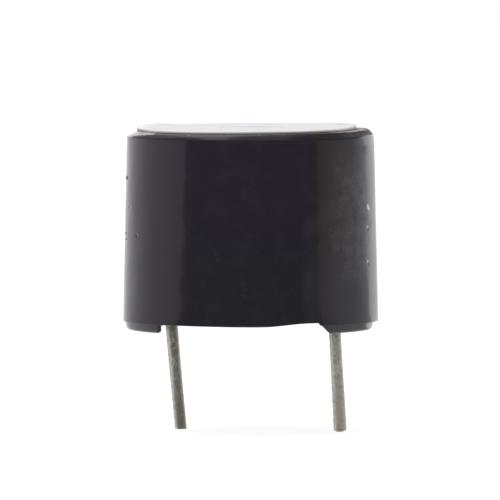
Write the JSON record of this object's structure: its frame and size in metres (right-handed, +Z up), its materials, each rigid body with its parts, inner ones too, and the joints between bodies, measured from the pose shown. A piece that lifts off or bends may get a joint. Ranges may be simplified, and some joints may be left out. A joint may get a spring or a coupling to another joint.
{
  "type": "piezo buzzer",
  "caption": "Round through-hole piezo buzzer with a built-in drive circuit: black cylindrical case, white wash label on top, stepped feet and two leaning tinned pins below.",
  "frame": {"origin": "on the case axis at the seating plane, where the two feet meet the circuit board that the buzzer is soldered to", "axes": "+Z up out of the sound hole, +X towards the positive pin, -Y towards the side that the picture shows"},
  "size_m": [0.012, 0.012, 0.0143],
  "materials": {
    "case_plastic": "gloss",
    "label_paper": "satin",
    "diaphragm_brass": "satin",
    "piezo_ceramic": "matte",
    "silver": "satin",
    "silicone": "satin",
    "lead_red": "satin",
    "lead_blue": "satin",
    "lead_black": "satin",
    "solder": "satin",
    "board_laminate": "satin",
    "copper": "satin",
    "transistor_epoxy": "matte",
    "tinned_wire": "satin",
    "chip_ceramic": "satin",
    "potting_epoxy": "satin"
  },
  "bodies": {
    "root": {"case": "case_plastic", "wash_label": "label_paper", "diaphragm": "diaphragm_brass", "piezo_disc": "piezo_ceramic", "main_electrode": "silver", "feedback_electrode": "silver", "bond_ring": "silicone", "main_lead": "lead_red", "feedback_lead": "lead_blue", "plate_lead": "lead_black", "main_disc_solder": "solder", "feedback_disc_solder": "solder", "plate_disc_solder": "solder", "main_board_solder": "solder", "feedback_board_solder": "solder", "plate_board_solder": "solder", "circuit_board": "board_laminate", "copper_tracks": "copper", "transistor_body": "transistor_epoxy", "transistor_legs": "tinned_wire", "base_resistor": "chip_ceramic", "collector_resistor": "chip_ceramic", "feedback_resistor": "chip_ceramic", "negative_pin": "tinned_wire", "positive_pin": "tinned_wire", "negative_pin_solder": "solder", "positive_pin_solder": "solder", "potting": "potting_epoxy"}
  },
  "joints": []
}
